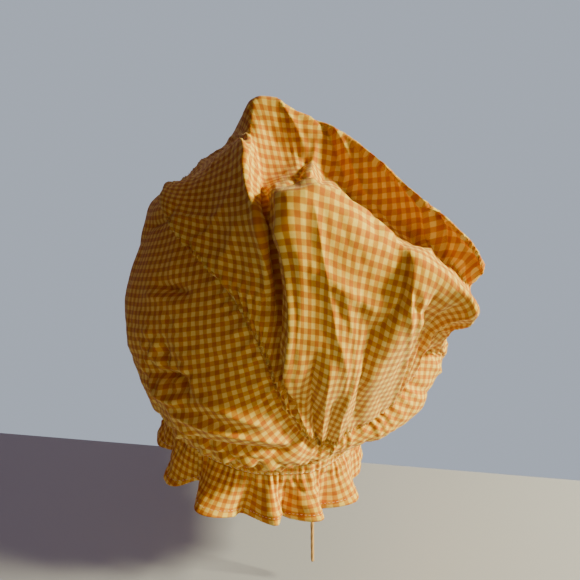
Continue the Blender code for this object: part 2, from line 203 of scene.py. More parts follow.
BRIM_CREASES = (
    Crease("upper tuck",       ((6.55, 0.27), (6.15, 0.16)), -8.0, 4.0),
    Crease("upper tuck lip",   ((6.50, 0.35), (6.20, 0.26)), 3.0,  4.0),
    Crease("side line",        ((6.15, 0.27), (5.60, 0.28)), -2.2, 3.0),
    Crease("gap",              ((5.62, 0.36), (5.33, 0.40)), -7.0, 3.5),
    Crease("gap lip",          ((5.70, 0.41), (5.30, 0.45)), 2.5,  3.0),
    Crease("lower pocket",     ((5.25, 0.48), (5.00, 0.40), (4.62, 0.37)), -11.0, 6.0),
    Crease("lower curl",       ((5.10, 0.55), (4.92, 0.52), (4.60, 0.48)), 6.0,  4.5),
    Crease("hanging fold",     ((4.40, 0.36), (3.50, 0.27), (2.83, 0.20)), 4.5,  4.0),
    Crease("under the fold",   ((4.30, 0.44), (3.40, 0.36), (2.60, 0.30)), -4.5, 5.0),
    Crease("notch",            ((8.15, 0.30), (8.05, 0.10)), -4.0, 4.0),
    Crease("ledge",            ((4.33, 0.52), (3.83, 0.45), (3.25, 0.38), (2.67, 0.30), (2.08, 0.23)),
           5.0, 3.6),
    Crease("under the ledge",  ((3.95, 0.66), (3.42, 0.60), (2.92, 0.52), (2.42, 0.43), (1.92, 0.34)),
           -9.0, 7.0),
    Crease("dome line",        ((5.20, 0.20), (4.30, 0.16), (3.60, 0.05)), -1.8, 4.0),
    Crease("right pleat",      ((-3.2, 0.02), (-3.5, 0.45)), -2.6, 4.0),
    Crease("right pleat lip",  ((-3.8, 0.02), (-4.1, 0.40)), 2.4,  4.0),
    Crease("right tuck",       ((-4.6, 0.03), (-4.8, 0.50)), -3.0, 5.0),
    Crease("low tuck",         ((-1.2, 0.10), (-1.5, 0.80)), -2.2, 4.0),
    Crease("nape tuck",        ((0.5, 0.10),  (0.9, 0.90)),  -2.0, 3.5),
    Crease("low left tuck",    ((1.8, 0.15),  (2.4, 0.90)),  -2.4, 4.0),
)

CROWN_CREASES = (
    Crease("flap peak",        ((5.33, 5.33), (4.58, 4.83), (3.75, 4.39)), 3.0, 3.0),
    Crease("flap ridge",       ((3.85, 4.30), (3.92, 3.83), (4.08, 3.22), (4.10, 2.40), (4.00, 1.50)),
           3.5, 2.8),
    Crease("valley strip",     ((4.70, 3.40), (4.80, 2.60), (4.90, 1.80), (5.20, 1.10)), -5.0, 4.0),
    Crease("puff left edge",   ((6.10, 3.00), (6.08, 2.40), (6.10, 1.70), (6.08, 1.20), (6.20, 0.50)),
           3.2, 2.6),
    Crease("puff top edge",    ((6.10, 3.05), (7.40, 3.02), (8.50, 3.10), (9.42, 3.20), (10.50, 3.00)),
           4.0, 2.6),
    Crease("pocket",           ((6.00, 3.45), (7.35, 3.42), (8.60, 3.55), (9.60, 3.65)), -6.0, 4.5),
    Crease("pocket crease",    ((7.33, 4.17), (8.08, 4.06), (7.30, 3.60), (6.70, 3.30)), -3.5, 3.5),
    Crease("lit lobe",         ((8.40, 4.40), (8.05, 3.60), (7.95, 3.25)), 3.0, 3.0),
    Crease("beside the lobe",  ((8.90, 4.50), (8.55, 3.80), (8.40, 3.35)), -3.5, 3.5),
    Crease("knob edge",        ((7.08, 5.10), (7.67, 4.61), (8.00, 4.33)), 2.0, 3.0),
    Crease("lip rim",          ((9.50, 5.10), (11.00, 5.05), (13.00, 5.00), (14.60, 4.90)), 2.5, 2.6),
    Crease("lip hollow",       ((11.60, 4.55), (12.60, 4.50), (14.00, 4.45)), -3.5, 4.0),
    Crease("between crests",   ((11.60, 5.30), (11.60, 4.60), (11.90, 4.00)), -5.0, 3.5),
    Crease("top lobe",         ((9.00, 4.90), (9.40, 4.30), (10.00, 3.80)), 3.0, 4.0),
    Crease("top hollow",       ((8.60, 5.00), (9.00, 4.30), (9.20, 3.90)), -3.0, 3.5),
    Crease("slot",             ((7.25, 1.30), (7.10, 0.80), (6.95, 0.20)), -6.0, 3.2),
    Crease("slot lip",         ((7.75, 1.20), (7.60, 0.60), (7.50, 0.20)), 2.5, 3.0),
    Crease("ridge",            ((7.75, 2.90), (7.83, 2.22), (8.08, 1.50), (8.80, 0.90), (9.60, 0.50)),
           1.6, 2.8),
    Crease("diagonal valley",  ((10.58, 2.90), (10.58, 2.17), (9.83, 1.72), (9.67, 1.00), (10.20, 0.35)),
           -4.5, 5.0),
    Crease("facet edge",       ((10.60, 3.00), (10.90, 2.40), (10.95, 1.80), (11.08, 0.90)), 2.6, 2.8),
    Crease("crest",            ((10.33, 4.83), (11.17, 4.60), (11.20, 4.10), (11.40, 3.50)), 3.5, 3.0),
    Crease("under the crest",  ((10.10, 4.30), (10.70, 4.00), (10.90, 3.60)), -4.0, 4.5),
    Crease("pleat one",        ((11.10, 0.30), (11.12, 1.00), (11.35, 2.10)), 3.0, 2.6),
    Crease("between pleats",   ((11.40, 0.20), (11.40, 0.90), (11.80, 2.10)), -3.0, 2.8),
    Crease("pleat two",        ((11.65, 0.30), (11.70, 0.90), (12.25, 2.00)), 3.0, 2.6),
    Crease("second hollow",    ((12.00, 0.20), (12.05, 0.80), (12.80, 2.20)), -3.0, 3.0),
    Crease("pleat three",      ((12.42, 0.30), (12.50, 0.80), (13.60, 2.70)), 3.0, 2.8),
    Crease("third hollow",     ((12.90, 0.20), (13.10, 0.90), (13.90, 2.20)), -2.5, 3.0),
    Crease("flap crease one",  ((3.40, 0.60), (3.20, 1.70), (3.50, 2.90)), 2.4,  3.0),
    Crease("flap crease two",  ((2.70, 0.40), (2.50, 1.50), (3.00, 2.60)), -2.4, 3.5),
    Crease("flap crease three", ((2.30, 1.20), (2.90, 2.20), (3.40, 3.60)), 2.0, 3.0),
    Crease("flap tail crease", ((1.60, 0.50), (2.20, 2.60)), -2.4, 3.0),
    Crease("low slit one",     ((5.60, 1.00), (5.70, 0.30)), -3.0, 2.6),
    Crease("low slit two",     ((8.30, 0.80), (8.40, 0.20)), -3.0, 2.8),
    Crease("low pleat",        ((9.10, 0.60), (9.20, 0.15)), 2.5, 2.4),
)


def spline(knots: Sequence[float], values: np.ndarray, at: np.ndarray, tension: float = 0.0) -> np.ndarray:
    """Smooth curve through values at knots.

    Args:
        knots: where each value stands.
        values: one row of values for each knot.
        at: where the curve is read.
        tension: 0 for a soft curve, towards 1 for a stiff one.

    Returns:
        One row of values for each place in at.
    """
    knots = np.asarray(knots, float)
    values = np.asarray(values, float)
    at = np.clip(np.asarray(at, float), knots[0], knots[-1])
    low = np.clip(np.searchsorted(knots, at, side="right") - 1, 0, len(knots) - 2)
    width = (knots[low + 1] - knots[low])[..., None]
    t = (at - knots[low])[..., None] / width
    slopes = np.gradient(values, knots, axis=0, edge_order=1) * (1.0 - tension)
    keep_low = 2 * t**3 - 3 * t**2 + 1
    leave_low = t**3 - 2 * t**2 + t
    reach_high = -2 * t**3 + 3 * t**2
    meet_high = t**3 - t**2
    return (keep_low * values[low] + leave_low * width * slopes[low]
            + reach_high * values[low + 1] + meet_high * width * slopes[low + 1])


def unit(vectors: np.ndarray) -> np.ndarray:
    """Vectors of length one."""
    return vectors / np.maximum(np.linalg.norm(vectors, axis=-1, keepdims=True), 1e-9)


def smooth_step(t: np.ndarray) -> np.ndarray:
    """Rise from 0 to 1 with level ends."""
    t = np.clip(t, 0.0, 1.0)
    return t * t * (3 - 2 * t)


def swing(places: np.ndarray, waves: Sequence[Triple]) -> np.ndarray:
    """Sum of waves, each with its height, its turns and its start."""
    return sum(height * np.sin(places * turns + start) for height, turns, start in waves)


def lengths_along(points: np.ndarray) -> np.ndarray:
    """Distance from the first point to each point of a line, or of each line of a grid."""
    steps = np.linalg.norm(np.diff(points, axis=-2), axis=-1)
    return np.concatenate((np.zeros((*steps.shape[:-1], 1)), np.cumsum(steps, axis=-1)), axis=-1)


def read_line(run: Sequence[float], line: np.ndarray, at: np.ndarray) -> np.ndarray:
    """Read a line whose points stand at run, with straight stretches between them."""
    return np.array([np.interp(at, run, line[:, k]) for k in range(line.shape[1])]).T


def scatter(cells: np.ndarray, seed: int) -> np.ndarray:
    """Two even random numbers from 0 to 1 for each whole-numbered cell, the same on every run."""
    x = cells[..., 0].astype(np.int64)
    y = cells[..., 1].astype(np.int64)
    by_x, by_y, by_seed, first, second = MIXERS
    mixed = (x * by_x + y * by_y + seed * by_seed) & WORD
    mixed = ((mixed ^ (mixed >> 13)) * first) & WORD
    mixed = mixed ^ (mixed >> 16)
    other = ((mixed ^ (mixed >> 11)) * second) & WORD
    return np.stack((mixed, other ^ (other >> 15)), axis=-1) / WORD


def crumple(flat: np.ndarray, size: float, seed: int) -> np.ndarray:
    """Height of crumpled paper: flat-sided bumps between sharp creases.

    Args:
        flat: places on the flat cloth.
        size: distance between creases.
        seed: picks the pattern.

    Returns:
        Heights from 0 in the creases to about 1.
    """
    place = flat / size
    cell = np.floor(place)
    nearest = np.full(flat.shape[:-1], np.inf)
    second = nearest.copy()
    for dx in (-1, 0, 1):
        for dy in (-1, 0, 1):
            near = cell + (dx, dy)
            gap = np.linalg.norm(near + scatter(near, seed) - place, axis=-1)
            second = np.minimum(second, np.maximum(nearest, gap))
            nearest = np.minimum(nearest, gap)
    return second - nearest


def grid_outward(grid: np.ndarray) -> np.ndarray:
    """Directions square to a grid of points, away from the head."""
    return unit(np.cross(np.gradient(grid, axis=0), np.gradient(grid, axis=1)))


def relaxed(grid: np.ndarray, rounds: int, pull: float = 0.5) -> np.ndarray:
    """The grid with its inner points drawn towards their neighbours, as stiff cloth rounds a crease."""
    grid = grid.copy()
    for _ in range(rounds):
        near = grid[:-2, 1:-1] + grid[2:, 1:-1] + grid[1:-1, :-2] + grid[1:-1, 2:]
        grid[1:-1, 1:-1] += (near / 4 - grid[1:-1, 1:-1]) * pull
    return grid


def refined(grid: np.ndarray, columns: np.ndarray, rows: np.ndarray,
            new_columns: np.ndarray, new_rows: np.ndarray) -> np.ndarray:
    """Read a grid of points more finely.

    Args:
        grid: points by column and row.
        columns: where the old columns stand.
        rows: where the old rows stand.
        new_columns: where the new columns stand.
        new_rows: where the new rows stand.

    Returns:
        The finer grid.
    """
    depth = grid.shape[-1]
    wide = spline(columns, grid.reshape(len(columns), -1), new_columns)
    wide = wide.reshape(len(new_columns), len(rows), depth).swapaxes(0, 1)
    tall = spline(rows, wide.reshape(len(rows), -1), new_rows)
    return tall.reshape(len(new_rows), len(new_columns), depth).swapaxes(0, 1)


def lay_flat(grid: np.ndarray, rounds: int = 500, evenness: float = 0.03) -> np.ndarray:
    """Cut the cloth open and lay it flat, every thread near its own length.

    Args:
        grid: points by column and row.
        rounds: how long the cloth is smoothed out.
        evenness: how strongly neighbouring threads keep an even distance.

    Returns:
        Places on the flat cloth by column and row.
    """
    middle = grid.shape[1] // 2
    across = np.linalg.norm(np.diff(grid, axis=0), axis=-1)
    x = np.concatenate(([0.0], np.cumsum(np.median(across, axis=1))))
    y = lengths_along(grid)
    flat = np.stack((np.repeat(x[:, None], grid.shape[1], axis=1), y - y[:, middle:middle + 1]), axis=-1)
    links = []
    for first, last in (((0, 0), (1, 0)), ((0, 0), (0, 1)), ((0, 0), (1, 1)), ((1, 0), (0, 1))):
        a = np.s_[first[0]:grid.shape[0] - last[0], first[1]:grid.shape[1] - last[1]]
        b = np.s_[last[0]:grid.shape[0] - first[0], last[1]:grid.shape[1] - first[1]]
        links.append((a, b, np.linalg.norm(grid[b] - grid[a], axis=-1)))
    for _ in range(rounds):
        push = np.zeros_like(flat)
        count = np.zeros(flat.shape[:-1])
        for a, b, length in links:
            gap = flat[b] - flat[a]
            now = np.maximum(np.linalg.norm(gap, axis=-1), TINY)
            step = gap * ((now - length) / now / 2)[..., None]
            push[a] += step
            push[b] -= step
            count[a] += 1
            count[b] += 1
        flat += push / count[..., None]
        near = flat[:-2, 1:-1] + flat[2:, 1:-1] + flat[1:-1, :-2] + flat[1:-1, 2:]
        flat[1:-1, 1:-1] += (near / 4 - flat[1:-1, 1:-1]) * evenness
    return flat


def turned(flat: np.ndarray, angle: float) -> np.ndarray:
    """The flat cloth turned by an angle, so that its threads run along the grain."""
    cos, sin = math.cos(angle), math.sin(angle)
    return flat @ np.array(((cos, sin), (-sin, cos)))


def near_path(places: np.ndarray, path: np.ndarray) -> tuple[np.ndarray, np.ndarray]:
    """Distance from each place to a bent line.

    Args:
        places: points, two numbers each.
        path: corners of the line, either one pair each or one for every place.

    Returns:
        Distances, and how far along the line each nearest point lies, from 0 to 1.
    """
    gap = np.full(places.shape[:-1], np.inf)
    share = np.zeros_like(gap)
    last = len(path) - 1
    for k in range(last):
        run = path[k + 1] - path[k]
        to = places - path[k]
        along = np.clip(np.sum(to * run, axis=-1) / np.maximum(np.sum(run * run, axis=-1), TINY), 0, 1)
        here = np.linalg.norm(to - run * along[..., None], axis=-1)
        share = np.where(here < gap, (k + along) / last, share)
        gap = np.minimum(here, gap)
    return gap, share


def fold_height(gap: np.ndarray, share: np.ndarray, width: float) -> np.ndarray:
    """Height of a sharp fold of height 1 that dies out sideways and at its ends."""
    fade = np.sqrt(np.clip(np.sin(math.pi * (FOLD_END + (1 - 2 * FOLD_END) * share)), 0, 1))
    return fade * np.exp(-(gap / width) ** FOLD_SHARPNESS)


def pressed(columns: np.ndarray, rows: np.ndarray, spans: np.ndarray,
            creases: Sequence[Crease]) -> np.ndarray:
    """How far the creases move each point of a cloth.

    Args:
        columns: column of each point.
        rows: row of each point.
        spans: millimetres for one column and for one row at each point.
        creases: the lines pressed into the cloth.

    Returns:
        Millimetres outwards, by column and row.
    """
    moved = np.zeros(columns.shape)
    here = np.stack((columns, rows), axis=-1)
    for crease in creases:
        path = [(np.array(corner) - here) * spans for corner in crease.path]
        gap, share = near_path(np.zeros(here.shape), path)
        moved += crease.depth * fold_height(gap, share, crease.width)
    return moved


@dataclass(frozen=True)
class BonnetForm:
    """The seam, rims and swell that brim, crown, casing and ruffle share."""

    top_station: int = 12
    ring_end: float = 5.0
    head_centre: Triple = (0.0, 30.0, -130.0)
    head_middle: Triple = (0.0, 30.0, -42.0)
    ring_centre: tuple[float, float] = (0.0, 35.0)
    lean: float = math.radians(30.0)
    look_around: float = 0.05
    ring_steps: int = 800

    def _round_the_bonnet(self, column: str) -> tuple[list[float], list[np.ndarray]]:
        """Stations and values of one column of SECTIONS, all the way round and a little past the top."""
        left = [(row.station, np.array(getattr(row, column), float)) for row in SECTIONS]
        right = []
        for row in SECTIONS[1:]:
            x, y, z = getattr(row, column)
            pull = np.array(row.pull, float) if column == "seam" else np.zeros(3)
            right.append((-row.station, np.array((-x, y, z), float) + pull))
        turn = 2 * self.top_station
        before = [(station - turn, value) for station, value in left[-3:-1]]
        after = [(station + turn, value) for station, value in right[-3:-1][::-1]]
        rows = sorted(before + right[::-1] + left + after, key=lambda row: row[0])
        return [row[0] for row in rows], [row[1] for row in rows]

    def wrapped(self, station: np.ndarray) -> np.ndarray:
        """Stations counted on past the top, as the wearer's right side has them."""
        return np.where(station > self.top_station, station - 2 * self.top_station, station)

    def seam(self, station: np.ndarray) -> np.ndarray:
        """Points of the seam between brim and crown, on its outer side."""
        return spline(*self._round_the_bonnet("seam"), station)

    def rim(self, station: np.ndarray) -> np.ndarray:
        """Points of the brim's outer edge: the neck ring, then the edge round the face."""
        return spline(*self._round_the_bonnet("rim"), station)

    def swell(self, station: np.ndarray) -> np.ndarray:
        """How far the brim bulges between seam and rim."""
        stations = [row.station for row in SECTIONS]
        left = np.interp(np.abs(station), stations, [row.swell_left for row in SECTIONS])
        right = np.interp(np.abs(station), stations, [row.swell_right for row in SECTIONS])
        return np.where(np.asarray(station) < 0, right, left)

    def _along_seam(self, station: np.ndarray) -> np.ndarray:
        """Direction of the seam."""
        return unit(self.seam(station + self.look_around) - self.seam(station - self.look_around))

    def seam_outward(self, station: np.ndarray) -> np.ndarray:
        """Direction square to the seam, away from the head."""
        along = self._along_seam(station)
        away = unit(self.seam(station) - np.array(self.head_centre))
        return unit(away - along * np.sum(away * along, axis=-1, keepdims=True))

    def across_seam(self, station: np.ndarray) -> np.ndarray:
        """Direction along the cloth, square to the seam, from the brim towards the crown."""
        return np.cross(self._along_seam(station), self.seam_outward(station))

    def ring_outward(self, points: np.ndarray) -> np.ndarray:
        """Level direction away from the middle of the neck ring."""
        flat = np.array(points, float)
        flat[..., 0] -= self.ring_centre[0]
        flat[..., 1] -= self.ring_centre[1]
        flat[..., 2] = 0.0
        return unit(flat)

    def from_lean(self, point: Triple) -> np.ndarray:
        """Turn a fold's (across, out, up) into the bonnet's frame."""
        across, out, up = point
        cos, sin = math.cos(self.lean), math.sin(self.lean)
        return np.array((sin * out - cos * across, cos * out + sin * across, up)) + self.head_middle

    def ring_line(self, count: int) -> np.ndarray:
        """Points of the neck ring, evenly spaced along the brim's lower edge."""
        line = self.rim(np.linspace(-self.ring_end, self.ring_end, self.ring_steps + 1))
        run = lengths_along(line)
        return read_line(run, line, np.linspace(0.0, run[-1], count))

    def ring_angles(self, line: np.ndarray) -> np.ndarray:
        """Angle of each point of the ring in degrees, from the nape towards the wearer's left."""
        return np.degrees(np.arctan2(line[:, 0] - self.ring_centre[0], line[:, 1] - self.ring_centre[1]))


# Finishes


def add_group(name: str, inputs: dict[str, tuple[str, object]],
              outputs: dict[str, str]) -> bpy.types.NodeTree:
    """Start a shader node group.

    Args:
        name: the group's name.
        inputs: socket kind and default value of each input.
        outputs: socket kind of each output.

    Returns:
        The group, with its input and output nodes.
    """
    group = bpy.data.node_groups.new(name, "ShaderNodeTree")
    for label, (kind, value) in inputs.items():
        socket = group.interface.new_socket(label, in_out="INPUT", socket_type=kind)
        if value is not None:
            socket.default_value = value
    for label, kind in outputs.items():
        group.interface.new_socket(label, in_out="OUTPUT", socket_type=kind)
    group.nodes.new("NodeGroupInput")
    group.nodes.new("NodeGroupOutput")
    return group


@dataclass
class NodeMaker:
    """Adds and joins the nodes of one tree."""

    tree: bpy.types.NodeTree

    def feed(self, node: bpy.types.Node, sockets: dict[str, object]) -> None:
        """Give a node its inputs, by place ("i0") or name: values, or other nodes' outputs to join."""
        for label, value in sockets.items():
            socket = node.inputs[int(label[1:]) if label[1:].isdigit() else label]
            if isinstance(value, bpy.types.NodeSocket):
                self.tree.links.new(value, socket)
            else:
                socket.default_value = value

    def node(self, kind: str, settings: dict[str, object] | None = None, **sockets: object) -> bpy.types.Node:
        """Add a node.

        Args:
            kind: the node's type.
            settings: values of its properties.
            sockets: its inputs, as feed takes them.

        Returns:
            The node.
        """
        node = self.tree.nodes.new(kind)
        for label, value in (settings or {}).items():
            setattr(node, label, value)
        self.feed(node, sockets)
        return node

    def math(self, operation: str, a: object, b: object = 0.0, c: object = 0.0) -> bpy.types.NodeSocket:
        """One sum of two or three values."""
        return self.node("ShaderNodeMath", {"operation": operation}, i0=a, i1=b, i2=c).outputs[0]

    def mix(self, share: object, a: object, b: object) -> bpy.types.NodeSocket:
        """A colour between a and b."""
        return self.node("ShaderNodeMix", {"data_type": "RGBA"}, i0=share, i6=a, i7=b).outputs[2]

    def noise(self, place: bpy.types.NodeSocket, scale: float, detail: float) -> bpy.types.Node:
        """Flat noise that lies on the cloth."""
        return self.node("ShaderNodeTexNoise", {"noise_dimensions": "2D"},
                         Vector=place, Scale=scale, Detail=detail)


def new_material(name: str) -> tuple[bpy.types.Material, NodeMaker, bpy.types.Node]:
    """A material with nodes, the maker of its nodes, and its shader."""
    material = bpy.data.materials.new(name)
    material.use_nodes = True
    return material, NodeMaker(material.node_tree), material.node_tree.nodes["Principled BSDF"]


@dataclass(frozen=True)
class Weave:
    """The woven check: dyed and white threads crossing in a plain weave."""

    wander_scale: float = 90.0
    wander: float = 0.5
    band_steepness: float = 14.0
    band_start: float = -3.0
    slub_scale: float = 900.0
    slub_shade: tuple[float, float] = (0.16, 0.92)
    slub_roughness: tuple[float, float] = (0.14, 0.78)
    slub_relief: float = 0.8
    thread_relief: float = 0.5

    def group(self) -> bpy.types.NodeTree:
        """Make the node group.

        Returns:
            A group whose inputs are the cloth's UV in metres, its colours and its sizes,
            and whose outputs are colour, height and roughness.
        """
        colour = ("NodeSocketColor", (1, 1, 1, 1))
        group = add_group(
            "gingham weave",
            {"Cloth": ("NodeSocketVector", None), "Period": ("NodeSocketFloat", 6.35 * MM),
             "Thread": ("NodeSocketFloat", 0.4 * MM), "White": colour, "One dyed": colour,
             "Both dyed": colour, "Grain": ("NodeSocketFloat", 0.3)},
            {"Color": "NodeSocketColor", "Height": "NodeSocketFloat", "Roughness": "NodeSocketFloat"})
        make = NodeMaker(group)
        given = group.nodes["Group Input"].outputs
        wander = make.noise(given["Cloth"], self.wander_scale, 2.0)
        shift = make.node("ShaderNodeVectorMath", {"operation": "MULTIPLY_ADD"}, i0=wander.outputs["Color"],
                          i1=(self.wander * MM, self.wander * MM, 0.0), i2=given["Cloth"])
        place = make.node("ShaderNodeSeparateXYZ", i0=shift.outputs[0])
        bands = []
        threads = []
        for axis in (0, 1):
            turn = make.math("FRACT", make.math("DIVIDE", place.outputs[axis], given["Period"]))
            tent = make.math("ABSOLUTE", make.math("SUBTRACT", turn, 0.5))
            rise = make.math("MULTIPLY_ADD", tent, self.band_steepness, self.band_start)
            bands.append(make.math("MINIMUM", make.math("MAXIMUM", rise, 0.0), 1.0))
            wave = make.math("DIVIDE", place.outputs[axis], given["Thread"])
            threads.append(make.math("SINE", make.math("MULTIPLY", wave, math.pi)))
        over = make.math("MULTIPLY", threads[0], threads[1])
        both = make.math("MULTIPLY", bands[0], bands[1])
        either = make.math("MAXIMUM", bands[0], bands[1])
        single = make.mix(either, given["White"], given["One dyed"])
        cloth = make.mix(both, single, given["Both dyed"])
        side = make.math("SUBTRACT", bands[0], bands[1])
        fleck = make.math("MULTIPLY", make.math("MULTIPLY", over, side), given["Grain"])
        toward = make.mix(make.math("MAXIMUM", fleck, 0.0), cloth, given["Both dyed"])
        back = make.math("MAXIMUM", make.math("MULTIPLY", fleck, -1.0), 0.0)
        away = make.mix(back, toward, given["White"])
        slub = make.noise(given["Cloth"], self.slub_scale, 2.0).outputs["Fac"]
        shade = make.math("MULTIPLY_ADD", slub, *self.slub_shade)
        faded = make.node("ShaderNodeHueSaturation", i0=0.5, i1=1.0, i2=shade, i3=1.0, i4=away)
        threads_relief = make.math("MULTIPLY", over, self.thread_relief)
        make.feed(group.nodes["Group Output"], {
            "Color": faded.outputs[0],
            "Height": make.math("MULTIPLY_ADD", slub, self.slub_relief, threads_relief),
            "Roughness": make.math("MULTIPLY_ADD", slub, *self.slub_roughness)})
        return group


@dataclass(frozen=True)
class GinghamFinish:
    """Thin crisp cotton, woven in yellow and white checks."""

    white: Triple = (0.90, 0.64, 0.13)
    one_dyed: Triple = (0.66, 0.315, 0.012)
    both_dyed: Triple = (0.50, 0.155, 0.005)
    period: float = 6.35
    thread: float = 0.42
    grain: float = 0.35
    weave_strength: float = 0.5
    weave_height: float = 0.05
    gloss: float = 0.25
    sheen: float = 0.15
    glow: float = 0.35
    glow_colour: Triple = (1.0, 0.55, 0.2)
    glow_depth: float = 2.0

    def material(self, name: str, group: bpy.types.NodeTree) -> bpy.types.Material:
        """Make the material.

        Args:
            name: the material's name.
            group: the gingham weave group.

        Returns:
            The material.
        """
        material, make, shader = new_material(name)
        cloth = make.node("ShaderNodeUVMap", {"uv_map": "cloth"})
        weave = make.node("ShaderNodeGroup", {"node_tree": group})
        make.feed(weave, {
            "Cloth": cloth.outputs[0], "Period": self.period * MM, "Thread": self.thread * MM,
            "White": (*self.white, 1), "One dyed": (*self.one_dyed, 1),
            "Both dyed": (*self.both_dyed, 1), "Grain": self.grain})
        bump = make.node("ShaderNodeBump", Strength=self.weave_strength, Distance=self.weave_height * MM,
                         Height=weave.outputs["Height"])
        make.feed(shader, {
            "Base Color": weave.outputs["Color"], "Roughness": weave.outputs["Roughness"],
            "Normal": bump.outputs[0], "Metallic": 0.0, "Specular IOR Level": self.gloss,
            "Sheen Weight": self.sheen, "Sheen Roughness": 0.5, "Subsurface Weight": self.glow,
            "Subsurface Radius": self.glow_colour, "Subsurface Scale": self.glow_depth * MM})
        return material


@dataclass(frozen=True)
class CordFinish:
    """Tan cotton cord, twisted from plies; its colour runs from dark to light with random fibres, and painted
    shade makes the hollows between the plies darker than their crests.
    """

    light: Triple = (0.72, 0.46, 0.20)
    dark: Triple = (0.38, 0.20, 0.07)
    fibre_scale: float = 1400.0
    fibre_shade: float = 0.5
    # painted shade: how far the ply share moves the colour, lighter on the crests and darker in the hollows
    # between plies
    ply_hollow_painted_shade: float = 0.7
    relief_strength: float = 0.6
    relief: float = 0.15
    roughness: float = 0.85
    gloss: float = 0.2

    def material(self, name: str) -> bpy.types.Material:
        """Make the material called name."""
        material, make, shader = new_material(name)
        place = make.node("ShaderNodeUVMap", {"uv_map": "cloth"})
        fibres = make.noise(place.outputs[0], self.fibre_scale, 3.0).outputs["Fac"]
        ply = make.node("ShaderNodeAttribute", {"attribute_name": "ply"}).outputs["Fac"]
        # painted shade: the ply share lightens the crests of the plies, so the hollows between them stay
        # darker
        hollow = make.math("MULTIPLY", ply, self.ply_hollow_painted_shade)
        shade = make.math("MULTIPLY_ADD", fibres, self.fibre_shade, hollow)
        bump = make.node("ShaderNodeBump", Strength=self.relief_strength, Distance=self.relief * MM,
                         Height=fibres)
        make.feed(shader, {
            "Base Color": make.mix(shade, (*self.dark, 1), (*self.light, 1)),
            "Normal": bump.outputs[0], "Roughness": self.roughness, "Specular IOR Level": self.gloss})
        return material


@dataclass(frozen=True)
class PlainFinish:
    """One plain colour, as sewing thread or a painted floor has."""

    colour: Triple
    roughness: float

    def material(self, name: str) -> bpy.types.Material:
        """Make the material called name."""
        material, make, shader = new_material(name)
        make.feed(shader, {"Base Color": (*self.colour, 1), "Roughness": self.roughness})
        return material


SEWING_THREAD = PlainFinish((0.90, 0.80, 0.60), 0.6)
FLOOR_PAINT = PlainFinish((0.42, 0.47, 0.69), 0.7)


# Cloth


def linked(name: str, data: bpy.types.ID) -> bpy.types.Object:
    """An object called name with this data, in the scene."""
    thing = bpy.data.objects.new(name, data)
    bpy.context.scene.collection.objects.link(thing)
    return thing


def mesh_object(name: str, bm: bmesh.types.BMesh) -> bpy.types.Object:
    """A smoothly shaded object made from bm, which is freed."""
    mesh = bpy.data.meshes.new(name)
    bm.to_mesh(mesh)
    bm.free()
    mesh.shade_smooth()
    return linked(name, mesh)


def declare(piece: bpy.types.Object, node: str, material: bpy.types.Material) -> None:
    """Give a piece its material, hide the imported part called node, and let it ride on the body."""
    piece.data.materials.clear()
    piece.data.materials.append(material)
    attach(piece, BODY)
    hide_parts(node)
    log.info("%s: %d vertices", piece.name, len(piece.data.vertices))


@dataclass(frozen=True)
class Crumples:
    """A layer of crumpled facets: height, distance between creases, and which pattern."""

    height: float
    size: float
    seed: int
    middle: float = 0.35

    def lift(self, flat: np.ndarray) -> np.ndarray:
        """Millimetres outwards at places on the flat cloth."""
        return self.height * (crumple(flat, self.size, self.seed) - self.middle)


@dataclass(frozen=True)
class Wear:
    """Many short sharp creases, as crisp cotton keeps them."""

    count: int
    height: float
    seed: int
    lengths: tuple[float, float] = (12, 38)
    widths: tuple[float, float] = (2.5, 6.0)
    least_height: float = 0.35
    bend: float = 0.5

    def lift(self, flat: np.ndarray) -> np.ndarray:
        """Millimetres outwards at places on the flat cloth."""
        draw = np.random.default_rng(self.seed)
        low, high = flat.min(axis=(0, 1)), flat.max(axis=(0, 1))
        moved = np.zeros(flat.shape[:-1])
        for _ in range(self.count):
            start = draw.uniform(low, high)
            heading = draw.uniform(0, 2 * math.pi)
            bend = draw.uniform(-self.bend, self.bend)
            length = draw.uniform(*self.lengths)
            middle = start + length * np.array((math.cos(heading), math.sin(heading)))
            end = middle + length * np.array((math.cos(heading + bend), math.sin(heading + bend)))
            gap, share = near_path(flat, np.array((start, middle, end)))
            tall = draw.uniform(self.least_height, 1.0) * self.height * draw.choice((-1.0, 1.0))
            moved += tall * fold_height(gap, share, draw.uniform(*self.widths))
        return moved


@dataclass(frozen=True)
class SeamPleats:
    """Small uneven pleats that rise beside a seam and fade away from it."""

    depth: float
    reach: float
    count: float
    sharpness: float
    sway: tuple[Triple, ...]
    start: float = 2.0

    def lift(self, place: np.ndarray, gap: np.ndarray) -> np.ndarray:
        """Millimetres outwards at places along the seam, gap millimetres from it."""
        wave = np.cos(2 * math.pi * self.count * place + swing(place, self.sway))
        wave = 1 - 2 * np.abs(wave) ** self.sharpness
        return self.depth * wave * smooth_step(gap / self.start) * np.exp(-(gap / self.reach) ** 2)


